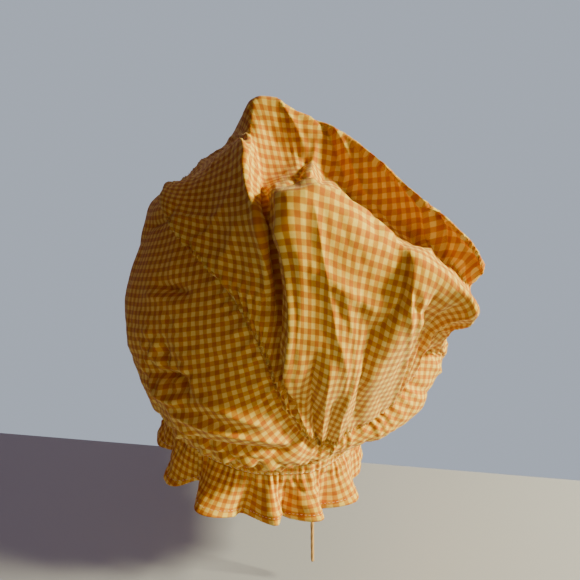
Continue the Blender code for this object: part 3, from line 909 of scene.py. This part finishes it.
@dataclass
class Cloth:
    """A sheet of cloth on a grid of columns and rows."""

    name: str
    points: np.ndarray
    flat: np.ndarray
    wall: float = 0.45
    merge_gap: float = 1e-7
    turns_tried: int = 31

    def size(self) -> tuple[float, float]:
        """Width and length in metres of the smallest oblong that the flat cloth is cut from."""
        places = self.flat.reshape(-1, 2)
        angles = np.linspace(0, math.pi / 2, self.turns_tried)
        oblongs = [np.ptp(turned(places, angle), axis=0) for angle in angles]
        width, length = min(oblongs, key=lambda oblong: oblong[0] * oblong[1]) * MM
        return float(width), float(length)

    def surface(self) -> bpy.types.Object:
        """Make the sheet without thickness, with its UV map in metres of flat cloth."""
        columns, rows = self.points.shape[:2]
        bm = bmesh.new()
        bmesh.ops.create_grid(bm, x_segments=columns - 1, y_segments=rows - 1, size=1.0)
        place = {}
        for vert in bm.verts:
            place[vert.index] = (round((vert.co.x + 1) / 2 * (columns - 1)),
                                 round((vert.co.y + 1) / 2 * (rows - 1)))
        cloth = bm.loops.layers.uv.new("cloth")
        for face in bm.faces:
            for loop in face.loops:
                loop[cloth].uv = self.flat[place[loop.vert.index]] * MM
        for vert in bm.verts:
            vert.co = self.points[place[vert.index]] * MM
        bmesh.ops.remove_doubles(bm, verts=bm.verts, dist=self.merge_gap)
        bmesh.ops.dissolve_degenerate(bm, edges=bm.edges, dist=self.merge_gap)
        return mesh_object(self.name, bm)

    def build(self) -> bpy.types.Object:
        """Make the sheet and give it its thickness."""
        piece = self.surface()
        wall = piece.modifiers.new("wall", "SOLIDIFY")
        wall.thickness = self.wall * MM
        wall.offset = -1.0
        return piece


@dataclass
class Stitches:
    """A row of thread stitches that lies on a cloth."""

    name: str
    length: float = 2.0
    gap: float = 1.3
    thread: float = 0.36
    raised: float = 0.08
    sides: int = 6

    def build(self, line: np.ndarray, outward: np.ndarray) -> bpy.types.Object:
        """Sew the row.

        Args:
            line: the cloth's points under the row, in millimetres.
            outward: direction away from the cloth at each of them.

        Returns:
            All stitches of the row, as one piece.
        """
        run = lengths_along(line)
        bm = bmesh.new()
        for middle in np.arange(self.gap + self.length / 2, run[-1] - self.length, self.length + self.gap):
            at = (middle - self.length / 2, middle, middle + self.length / 2)
            start, centre, end = read_line(run, line, at)
            up = unit(read_line(run, outward, middle))
            along = unit(end - start)
            side = unit(np.cross(up, along))
            up = np.cross(along, side)
            place = np.eye(4)
            place[:3] = np.stack((side * self.thread, up * self.thread, along * self.length,
                                  centre + up * self.raised), axis=1) * MM
            bmesh.ops.create_uvsphere(bm, u_segments=self.sides, v_segments=self.sides, radius=0.5,
                                      matrix=Matrix(place.tolist()))
        bmesh.ops.recalc_face_normals(bm, faces=bm.faces)
        return mesh_object(self.name, bm)


@dataclass
class Crown:
    """The gathered bag at the back, crumpled into flap, knob, puff and lip."""

    form: BonnetForm
    steps_between_folds: int = 2
    steps_between_stations: int = 3
    left_end: float = 9.5
    right_end: float = -8.1
    crease_sharpness: float = 0.35
    fold_tension: float = 0.25
    crease_rounding: int = 3
    kept_columns: tuple[float, ...] = (1, 3, 11, 13, 16)
    kept_shares: tuple[float, ...] = (0.0, 0.7, 0.7, 0.2, 0.0)
    gather_rise: float = 4.0
    gather_set_back: float = 2.0
    fine_columns: int = 26
    fine_rows: int = 16
    sewn_reach: float = 0.6
    pleats: SeamPleats = SeamPleats(1.7, 26.0, 3.4, 0.7, ((1.3, 1.7, 0.0), (0.8, 4.1, 1.0)))
    crumples: tuple[Crumples, ...] = (Crumples(1.1, 24.0, 3), Crumples(0.5, 9.0, 7))
    wear: Wear = Wear(110, 2.6, 21)
    free_reach: float = 14.0
    still_columns: float = 0.6

    def columns(self) -> tuple[np.ndarray, np.ndarray, np.ndarray]:
        """Lay out the columns of the cloth.

        Returns:
            Place of each column among the folds, and the stations where it leaves and meets the seam,
            the second counted on past the top.
        """
        turn = 2 * self.form.top_station
        roots = [self.left_end] + [fold.root for fold in FOLDS] + [self.right_end]
        fars = [self.left_end] + [fold.far for fold in FOLDS] + [self.right_end]
        fars = [far if far > 0 else far + turn for far in fars]
        last = len(roots) - 1
        between = np.linspace(1, last - 1, (last - 2) * self.steps_between_folds + 1)
        at = np.concatenate(([0], between, [last]))
        return at, np.interp(at, range(len(roots)), roots), np.interp(at, range(len(fars)), fars)

    def main_folds(self) -> np.ndarray:
        """Outer side of the crown with its main folds, one column for each fold and those between."""
        rows = np.linspace(0, LAST_ROW, LAST_ROW * self.steps_between_stations + 1)
        lines = []
        for fold in FOLDS:
            places = (fold.low, fold.mid, fold.brow, fold.pocket, fold.crest)
            middle = [self.form.from_lean(place) for place in places]
            ends = [self.form.seam(np.array(float(station))) for station in (fold.root, fold.far)]
            lines.append(spline(range(LAST_ROW + 1), [ends[0]] + middle + [ends[1]], rows, self.fold_tension))
        for place, station in ((0, self.left_end), (len(lines) + 1, self.right_end)):
            lines.insert(place, np.repeat(self.form.seam(np.array([station])), len(rows), axis=0))
        at, root, far = self.columns()
        far = self.form.wrapped(far)
        flat = np.array(lines).reshape(len(lines), -1)
        soft = spline(range(len(lines)), flat, at)
        crisp = read_line(range(len(lines)), flat, at)
        mixed = soft * (1 - self.crease_sharpness) + crisp * self.crease_sharpness
        grid = mixed.reshape(len(at), len(rows), 3)
        grid[:, 0] = self.form.seam(root)
        grid[:, -1] = self.form.seam(far)
        grid[0] = grid[0, 0]
        grid[-1] = grid[-1, 0]
        kept = np.interp(at, self.kept_columns, self.kept_shares)[:, None, None]
        lost = grid - relaxed(grid, self.crease_rounding)
        grid = relaxed(grid + lost * kept, self.crease_rounding)
        return self._stand_up(grid, root, far)

    def _stand_up(self, grid: np.ndarray, root: np.ndarray, far: np.ndarray) -> np.ndarray:
        """The gathered cloth stands up from its seam before it turns."""
        for row, second, third, fourth, station in ((0, 1, 2, 3, root), (-1, -2, -3, -4, far)):
            stand = self.form.seam_outward(station) * self.gather_rise
            stand += self.form.across_seam(station) * self.gather_set_back
            grid[1:-1, second] = (grid[:, row] + stand)[1:-1]
            grid[1:-1, third] = (grid[1:-1, second] + grid[1:-1, fourth]) / 2
        return grid

    def build(self, material: bpy.types.Material) -> bpy.types.Object:
        """Make the crown.

        Args:
            material: the material of the crown.

        Returns:
            The piece.
        """
        at, root, far = self.columns()
        coarse = self.main_folds()
        rows = np.linspace(0, LAST_ROW, coarse.shape[1])
        flat = lay_flat(coarse)
        last = len(FOLDS) + 1
        fine_at = np.linspace(0, last, last * self.fine_columns + 1)
        fine_rows = np.linspace(0, LAST_ROW, LAST_ROW * self.fine_rows + 1)
        points = refined(coarse, at, rows, fine_at, fine_rows)
        points = self._sewn_on(points, fine_rows, np.interp(fine_at, at, root), np.interp(fine_at, at, far))
        flat = refined(flat, at, rows, fine_at, fine_rows)
        outward = grid_outward(points)
        column = fine_at[:, None] + 0 * fine_rows
        row = fine_rows + 0 * fine_at[:, None]
        spans = np.stack((np.linalg.norm(np.gradient(points, fine_at, axis=0), axis=-1),
                          np.linalg.norm(np.gradient(points, fine_rows, axis=1), axis=-1)), axis=-1)
        moved = pressed(column, row, spans, CROWN_CREASES)
        for gap in (row * spans[..., 1], (LAST_ROW - row) * spans[..., 1]):
            moved += self.pleats.lift(column, gap)
        free = smooth_step(np.minimum(row, LAST_ROW - row) * spans[..., 1] / self.free_reach)
        for layer in (*self.crumples, self.wear):
            moved += free * layer.lift(flat)
        edge = smooth_step(np.minimum(column, last - column) / self.still_columns)
        points = points + outward * (moved * edge)[..., None]
        cloth = Cloth("crown_cloth", points, flat)
        piece = cloth.build()
        declare(piece, "crown", material)
        cloth.size()
        return piece

    def _sewn_on(self, points: np.ndarray, rows: np.ndarray, root: np.ndarray, far: np.ndarray) -> np.ndarray:
        """Draw both ends of each column onto the seam line.

        Args:
            points: the fine cloth by column and row.
            rows: place of each row, from 0 to LAST_ROW.
            root: station where each column leaves the seam.
            far: station where it meets the seam again.

        Returns:
            The fine cloth, sewn on.
        """
        for end, gap, station in ((0, rows, root), (-1, LAST_ROW - rows, far)):
            missing = self.form.seam(self.form.wrapped(station)) - points[:, end]
            log.info("crown seam: up to %.2f mm drawn in", np.linalg.norm(missing, axis=-1).max())
            points = points + missing[:, None] * (1 - smooth_step(gap / self.sewn_reach))[None, :, None]
        return points


@dataclass
class Brim:
    """The broad band round the head, from the crown's seam to the face edge and the neck."""

    form: BonnetForm
    sag_left: float = 1.3
    sag_right: float = 0.85
    away_rise: float = 0.5
    coarse_columns: int = 48
    coarse_rows: int = 12
    columns: int = 432
    rows: int = 76
    grain: float = math.radians(32.0)
    hem: float = 9.0
    hem_height: float = 0.5
    hem_step: float = 1.2
    hem_start: float = 0.4
    crumples: tuple[Crumples, ...] = (Crumples(1.0, 30.0, 11), Crumples(0.4, 11.0, 17))
    wear: Wear = Wear(110, 2.2, 23)
    rumples: Crumples = Crumples(6.2, 12.0, 31)
    free_reach: float = 12.0
    still_stations: float = 0.5
    dents_at: tuple[float, float] = (5.2, 0.42)
    dents_size: tuple[float, float] = (0.9, 0.16)
    neck_start: tuple[float, float] = (0.45, 0.2)
    neck_end: float = 0.1
    neck_at: float = 2.4
    neck_size: float = 2.2
    pleats: SeamPleats = SeamPleats(1.2, 16.0, 1.5, 0.8, ((1.1, 2.3, 0.0), (0.7, 5.3, 2.0)))

    def surface(self, stations: np.ndarray, t: np.ndarray) -> np.ndarray:
        """Outer side of the brim at seam stations, from the seam (t = 0) to its rim (t = 1)."""
        seam, rim = self.form.seam(stations), self.form.rim(stations)
        away = (seam + rim) / 2 - np.array(self.form.head_centre)
        away[..., 2] *= self.away_rise
        low = t ** np.where(stations < 0, self.sag_right, self.sag_left)
        full = 4 * low * (1 - low)
        bulge = (self.form.swell(stations) * full)[..., None]
        return seam + (rim - seam) * t[..., None] + unit(away) * bulge

    def build(self, material: bpy.types.Material) -> bpy.types.Object:
        """Make the brim.

        Args:
            material: the material of the brim.

        Returns:
            The piece.
        """
        turn = 2 * self.form.top_station
        coarse_places = np.linspace(0, turn, self.coarse_columns + 1)
        coarse_t = np.linspace(0, 1, self.coarse_rows + 1)
        wrap = self.form.wrapped(coarse_places)
        coarse = self.surface(wrap[:, None] + 0 * coarse_t, coarse_t + 0 * wrap[:, None])
        flat = turned(lay_flat(coarse), self.grain)
        places = np.linspace(0, turn, self.columns + 1)
        t = np.linspace(0, 1, self.rows + 1)
        stations = self.form.wrapped(places)
        flat = refined(flat, coarse_places, coarse_t, places, t)
        station, share = stations[:, None] + 0 * t, t + 0 * stations[:, None]
        points = self.surface(station, share)
        around = np.concatenate((points[-2:-1], points, points[1:2]))
        outward = unit(np.cross(np.gradient(around, axis=0), np.gradient(around, axis=1)))[1:-1]
        outward[0] = outward[-1] = unit(outward[0] + outward[-1])
        spans = np.stack((np.linalg.norm(np.gradient(around, axis=0), axis=-1)[1:-1] * self.columns / turn,
                          np.linalg.norm(np.gradient(points, t, axis=1), axis=-1)), axis=-1)
        moved = pressed(station, share, spans, BRIM_CREASES)
        from_seam, from_rim = share * spans[..., 1], (1 - share) * spans[..., 1]
        moved += self.pleats.lift(places[:, None] + 0 * t, from_seam)
        free = smooth_step(np.minimum(from_seam, from_rim) / self.free_reach)
        free *= smooth_step(np.minimum(places, turn - places) / self.still_stations)[:, None]
        for layer in (*self.crumples, self.wear):
            moved += free * layer.lift(flat)
        moved += self._rumpled(station, share) * self.rumples.lift(flat)
        hem = self.hem_height * (1 - smooth_step((from_rim - self.hem) / self.hem_step))
        face = smooth_step((np.abs(station) - self.form.ring_end) / self.hem_start)
        points = points + outward * (moved + hem * face)[..., None]
        points[-1] = points[0]
        cloth = Cloth("brim_cloth", points, flat)
        piece = cloth.build()
        declare(piece, "brim", material)
        cloth.size()
        return piece

    def _rumpled(self, station: np.ndarray, share: np.ndarray) -> np.ndarray:
        """How rumpled the brim is: most over the neck and in the dents on the left."""
        dents = np.exp(-((station - self.dents_at[0]) / self.dents_size[0]) ** 2
                       - ((share - self.dents_at[1]) / self.dents_size[1]) ** 2)
        neck = smooth_step((share - self.neck_start[0]) / self.neck_start[1])
        neck *= smooth_step((1 - share) / self.neck_end)
        neck *= np.exp(-((station - self.neck_at) / self.neck_size) ** 2)
        return np.maximum(dents, neck)


@dataclass(frozen=True)
class Gathers:
    """The uneven pleats that casing and ruffle share."""

    count: int = 62
    slow_swing: float = 2.0
    slow_pleats: float = 7.0
    quick_swing: float = 1.1
    quick_pleats: float = 3.1
    sharpness: float = 0.96
    uneven: float = 0.25
    uneven_pleats: float = 5.3

    def wave(self, points: int) -> np.ndarray:
        """Height of the pleats from -1 to 1 at points spaced evenly round the ring."""
        turn = np.linspace(0, 2 * math.pi * self.count, points)
        moved = self.slow_swing * np.sin(turn / self.slow_pleats)
        moved += self.quick_swing * np.sin(turn / self.quick_pleats)
        sharp = 2 / math.pi * np.arcsin(self.sharpness * np.sin(turn + moved))
        return sharp * (1 - self.uneven + self.uneven * np.sin(turn / self.uneven_pleats + 1.0))


@dataclass
class NeckCasing:
    """The gathered channel round the neck that holds the drawstring."""

    form: BonnetForm
    gathers: Gathers
    columns: int = 560
    rows: int = 14
    height: float = 11.0
    tuck: float = 2.0
    inset: float = 1.0
    bulge: float = 1.9
    roundness: float = 0.6
    gather_depth: float = 1.3
    fullness: float = 1.25
    over_the_bulge: float = 1.15
    wear: Wear = Wear(80, 1.4, 37)
    upper_row: int = 4
    lower_row: int = 12

    def build(self, material: bpy.types.Material, thread: bpy.types.Material) -> bpy.types.Object:
        """Make the casing and its stitches.

        Args:
            material: the material of the casing.
            thread: the material of its stitches.

        Returns:
            The piece.
        """
        line = self.form.ring_line(self.columns + 1)
        outward = self.form.ring_outward(line)
        t = np.linspace(0, 1, self.rows + 1)
        wave = self.gathers.wave(len(line))
        belly = np.sin(math.pi * t) ** self.roundness
        lift = self.bulge * belly + self.gather_depth * wave[:, None] * belly
        down = self.height * t - self.tuck * (1 - t)
        points = line[:, None] + outward[:, None] * (lift - self.inset)[..., None]
        points[..., 2] -= down
        width = np.linalg.norm(np.diff(line, axis=0), axis=1).sum() * self.fullness
        across = np.linspace(0, width, len(line))[:, None] + 0 * t
        flat = np.stack((across, -down * self.over_the_bulge + 0 * across), axis=-1)
        points = points + outward[:, None] * (self.wear.lift(flat) * belly)[..., None]
        cloth = Cloth("neck_casing_cloth", points, flat)
        piece = cloth.build()
        declare(piece, "neck_casing", material)
        cloth.size()
        for name, row in (("casing_upper_stitches", self.upper_row),
                          ("casing_lower_stitches", self.lower_row)):
            seam = Stitches(name).build(points[:, row], outward)
            declare(seam, "neck_casing", thread)
        return piece


@dataclass
class CurtainRuffle:
    """The frill that hangs from the casing in lobes."""

    form: BonnetForm
    gathers: Gathers
    columns: int = 560
    rows: int = 40
    height: float = 35.0
    start: float = 9.5
    inset: float = 0.9
    flare: float = 7.0
    flare_bend: float = 1.2
    slant_bend: float = 1.3
    lobe_spread: float = 0.8
    gather_depth: float = 1.8
    gather_start: float = 2.0
    gather_reach: float = 15.0
    gather_fade: float = 1.5
    fullness: float = 1.45
    crumples: Crumples = Crumples(0.9, 16.0, 5)
    crumple_start: float = 12.0
    wear: Wear = Wear(60, 2.0, 29)
    wear_start: float = 6.0
    hem: float = 5.0
    hem_height: float = 0.35
    hem_step: float = 0.8
    sewn_inside_hem: float = 0.6

    def build(self, material: bpy.types.Material, thread: bpy.types.Material) -> bpy.types.Object:
        """Make the ruffle and its stitches.

        Args:
            material: the material of the ruffle.
            thread: the material of its stitches.

        Returns:
            The piece.
        """
        line = self.form.ring_line(self.columns + 1)
        outward = self.form.ring_outward(line)
        line = line - np.array((0, 0, self.start)) - outward * self.inset
        t = np.linspace(0, 1, self.rows + 1)
        points = self._lobes(line, outward, t)
        normal = grid_outward(points)
        width = np.linalg.norm(np.diff(line, axis=0), axis=1).sum() * self.fullness
        across = np.linspace(0, width, len(line))[:, None] + 0 * t
        deep = lengths_along(points)
        flat = np.stack((across, -deep), axis=-1)
        wave = self.gathers.wave(len(line))[:, None]
        lift = self.gather_depth * wave * smooth_step(deep / self.gather_start)
        lift *= np.exp(-(deep / self.gather_reach) ** self.gather_fade)
        lift += smooth_step(deep / self.crumple_start) * self.crumples.lift(flat)
        lift += smooth_step(deep / self.wear_start) * self.wear.lift(flat)
        lift += self.hem_height * (1 - smooth_step((deep[:, -1:] - deep - self.hem) / self.hem_step))
        points = points + normal * lift[..., None]
        cloth = Cloth("curtain_ruffle_cloth", points, flat)
        piece = cloth.build()
        declare(piece, "curtain_ruffle", material)
        cloth.size()
        sewn = self.rows - round(self.rows * (self.hem - self.sewn_inside_hem) / self.height)
        seam = Stitches("ruffle_hem_stitches").build(points[:, sewn], grid_outward(points)[:, sewn])
        declare(seam, "curtain_ruffle", thread)
        return piece

    def _lobes(self, line: np.ndarray, outward: np.ndarray, t: np.ndarray) -> np.ndarray:
        """The hanging cloth in its lobes, before its gathers.

        Args:
            line: the ruffle's upper edge.
            outward: level direction away from the neck at each of its points.
            t: shares of the way down, from 0 to 1.

        Returns:
            Points by column and row.
        """
        beside = np.stack((outward[:, 1], -outward[:, 0], 0 * outward[:, 0]), axis=-1)
        angle = self.form.ring_angles(line)
        out, drop, slant = (np.full(len(line), start) for start in (self.flare, self.height, 0.0))
        for lobe in LOBES:
            near = np.exp(-((angle - lobe.angle) / (self.lobe_spread * lobe.half_width)) ** 2)
            out += lobe.out * near
            drop += lobe.drop * near
            slant += lobe.slant * near
        points = line[:, None] + outward[:, None] * (out[:, None] * t ** self.flare_bend)[..., None]
        points += beside[:, None] * (slant[:, None] * t ** self.slant_bend)[..., None]
        points[..., 2] -= drop[:, None] * t
        return points


@dataclass
class Drawstring:
    """The free end of the twisted cotton cord, hanging at the nape."""

    form: BonnetForm
    diameter: float = 2.8
    angle: float = 3.0
    top: float = -236.0
    length: float = 89.0
    lean: tuple[float, float] = (0.5, 2.5)
    inset: float = 2.9
    ring_points: int = 97
    rings: int = 140
    path_points: int = 25
    sides: int = 24
    plies: int = 3
    twist: float = 9.0
    valley: float = 0.80
    end_radius: float = 0.02
    # painted shade: share of the radius below which a point counts as fully in a hollow between plies
    painted_shade_start: float = 0.78

    def route(self, count: int) -> np.ndarray:
        """Middle line of the cord, in millimetres."""
        line = self.form.ring_line(self.ring_points)
        angle = math.radians(self.angle)
        nearest = line[np.argmin(np.abs(self.form.ring_angles(line) - self.angle))]
        centre = self.form.ring_centre
        radius = math.hypot(nearest[0] - centre[0], nearest[1] - centre[1]) - self.inset
        t = np.linspace(0, 1, count)
        return np.stack((centre[0] + radius * math.sin(angle) + self.lean[0] * t * t,
                         centre[1] + radius * math.cos(angle) + self.lean[1] * t * t,
                         self.top - self.length * t), axis=-1)

    def build(self, material: bpy.types.Material) -> bpy.types.Object:
        """Make the cord.

        Args:
            material: the material of the cord.

        Returns:
            The piece.
        """
        path = self.route(self.rings + 1)
        sides = np.linspace(0, 2 * math.pi, self.sides + 1)
        radius = self.diameter / 2
        run = np.linspace(0, self.length, self.rings + 1)
        lag = run * 2 * math.pi / (self.twist * self.plies)
        ply = 0.5 + 0.5 * np.cos(self.plies * (sides[:, None] - lag))
        from_end = np.clip(np.minimum(run, self.length - run) / radius, 0, 1)
        ends = np.sqrt(from_end * (1 - self.end_radius) + self.end_radius)
        around = radius * (self.valley + (1 - self.valley) * ply ** 0.5) * np.minimum(ends, 1)
        points = path[None] + np.zeros((len(sides), 1, 1))
        points[..., 0] += around * np.cos(sides)[:, None]
        points[..., 1] -= around * np.sin(sides)[:, None]
        flat = np.stack((sides[:, None] * radius + 0 * run, run + 0 * sides[:, None]), axis=-1)
        piece = Cloth("drawstring_cord", points, flat).surface()
        self._close_ends(piece)
        declare(piece, "drawstring", material)
        [tuple(p * MM) for p in self.route(self.path_points)]
        return piece

    def _close_ends(self, piece: bpy.types.Object) -> None:
        """Cap the tube and store a share for painted shade at each point: low in the hollows between the
        plies and on the caps, 1 on the crests.
        """
        bm = bmesh.new()
        bm.from_mesh(piece.data)
        edges = [edge for edge in bm.edges if edge.is_boundary]
        bmesh.ops.holes_fill(bm, edges=edges, sides=0)
        bmesh.ops.recalc_face_normals(bm, faces=bm.faces)
        bm.to_mesh(piece.data)
        bm.free()
        # painted shade: the 'ply' share, low in the hollows between plies and on the caps, 1 on the crests
        shade = piece.data.attributes.new("ply", "FLOAT", "POINT")
        path = self.route(self.rings + 1) * MM
        for vert, value in zip(piece.data.vertices, shade.data):
            centre = path[np.argmin(np.abs(path[:, 2] - vert.co.z))]
            gap = math.hypot(vert.co.x - centre[0], vert.co.y - centre[1]) / MM / (self.diameter / 2)
            value.value = float(np.clip((gap - self.painted_shade_start) / (1 - self.painted_shade_start), 0, 1))


# Studio


@dataclass(frozen=True)
class Lamp:
    """A square soft lamp aimed at the bonnet: degrees round and above it, millimetres, watts and colour."""

    name: str
    azimuth: float
    elevation: float
    distance: float
    size: float
    watts: float
    colour: Triple


LAMPS = (
    Lamp("window",   227, 23, 1500, 240,  62,  (1.0, 0.86, 0.42)),
    Lamp("fill",     192, 6,  1600, 1300, 6.5, (1.0, 0.84, 0.58)),
    Lamp("far_side", 340, 30, 1600, 1000, 5.0, (1.0, 0.86, 0.70)),
)


def look_from(thing: bpy.types.Object, aim: Triple, azimuth: float, elevation: float,
              distance: float) -> None:
    """Place a camera or lamp so that it looks at a point.

    Args:
        thing: the camera or lamp.
        aim: the point that it looks at, in millimetres.
        azimuth: degrees round the point.
        elevation: degrees above the horizon.
        distance: millimetres from the point.
    """
    turn, rise = math.radians(azimuth), math.radians(elevation)
    away = Vector((math.sin(turn) * math.cos(rise), -math.cos(turn) * math.cos(rise), math.sin(rise)))
    thing.location = (Vector(aim) + away * distance) * MM
    thing.rotation_euler = away.to_track_quat("Z", "Y").to_euler()


@dataclass(frozen=True)
class Studio:
    """Camera, pale floor and soft light."""

    azimuth: float = 150.0
    elevation: float = 15.0
    distance: float = 430.0
    focus: float = 492.0
    frame_width: float = 580.0
    sensor: float = 36.0
    target: Triple = (-20.8, 42.0, -117.0)
    floor_height: float = -345.0
    floor_reach: float = 460.0
    floor_beyond: float = 92.0
    floor_turn: float = -38.0
    lamp_aim: Triple = (0, 80, -100)
    room_colour: Triple = (1.00, 0.64, 0.66)
    room_light: float = 0.118
    wall_colour: Triple = (0.585, 0.655, 0.77)
    wall_light: float = 0.74

    def camera(self) -> bpy.types.Object:
        """Place the camera at the photograph's angle."""
        data = bpy.data.cameras.new("camera")
        data.sensor_width = self.sensor
        data.lens = self.focus / self.frame_width * self.sensor
        data.clip_start = 0.01
        camera = linked("camera", data)
        look_from(camera, self.target, self.azimuth, self.elevation, self.distance)
        bpy.context.scene.camera = camera
        return camera

    def floor(self) -> bpy.types.Object:
        """A plain pale floor whose far edge lies a little beyond the bonnet."""
        bm = bmesh.new()
        bmesh.ops.create_grid(bm, x_segments=1, y_segments=1, size=self.floor_reach * MM)
        bmesh.ops.translate(bm, verts=bm.verts, vec=(0, (self.floor_reach - self.floor_beyond) * MM, 0))
        turn = Matrix.Rotation(math.radians(self.floor_turn), 3, "Z")
        bmesh.ops.rotate(bm, verts=bm.verts, cent=(0, 0, 0), matrix=turn)
        bmesh.ops.translate(bm, verts=bm.verts, vec=Vector((*self.target[:2], self.floor_height)) * MM)
        floor = mesh_object("floor", bm)
        floor.data.materials.append(FLOOR_PAINT.material("floor_paint"))
        return floor

    def light(self) -> None:
        """Warm low light from the side, weak wide lamps before and behind, and a grey-blue room."""
        for row in LAMPS:
            data = bpy.data.lights.new(row.name, "AREA")
            data.size = row.size * MM
            data.energy = row.watts
            data.color = row.colour
            lamp = linked(row.name, data)
            look_from(lamp, self.lamp_aim, row.azimuth, row.elevation, row.distance)
        world = bpy.data.worlds.new("studio")
        world.use_nodes = True
        make = NodeMaker(world.node_tree)
        room = world.node_tree.nodes["Background"]
        make.feed(room, {"Color": (*self.room_colour, 1), "Strength": self.room_light})
        wall = make.node("ShaderNodeBackground", Color=(*self.wall_colour, 1), Strength=self.wall_light)
        seen = make.node("ShaderNodeLightPath")
        both = make.node("ShaderNodeMixShader", i0=seen.outputs["Is Camera Ray"], i1=room.outputs[0],
                         i2=wall.outputs[0])
        make.feed(world.node_tree.nodes["World Output"], {"Surface": both.outputs[0]})
        bpy.context.scene.world = world


def main() -> None:
    """Build the studio, then the bonnet piece by piece."""
    logging.basicConfig(level=logging.INFO, format="%(message)s")
    form = BonnetForm()
    studio = Studio()
    studio.camera()
    Drawstring(form).build(CordFinish().material("drawstring_cotton"))
    weave = Weave().group()
    gingham = GinghamFinish()
    Crown(form).build(gingham.material("crown_gingham", weave))
    Brim(form).build(gingham.material("brim_gingham", weave))
    gathers = Gathers()
    thread = SEWING_THREAD.material("sewing_thread")
    NeckCasing(form, gathers).build(gingham.material("casing_gingham", weave), thread)
    CurtainRuffle(form, gathers).build(gingham.material("ruffle_gingham", weave), thread)
    studio.floor()
    studio.light()


if __name__ == "__main__":
    main()
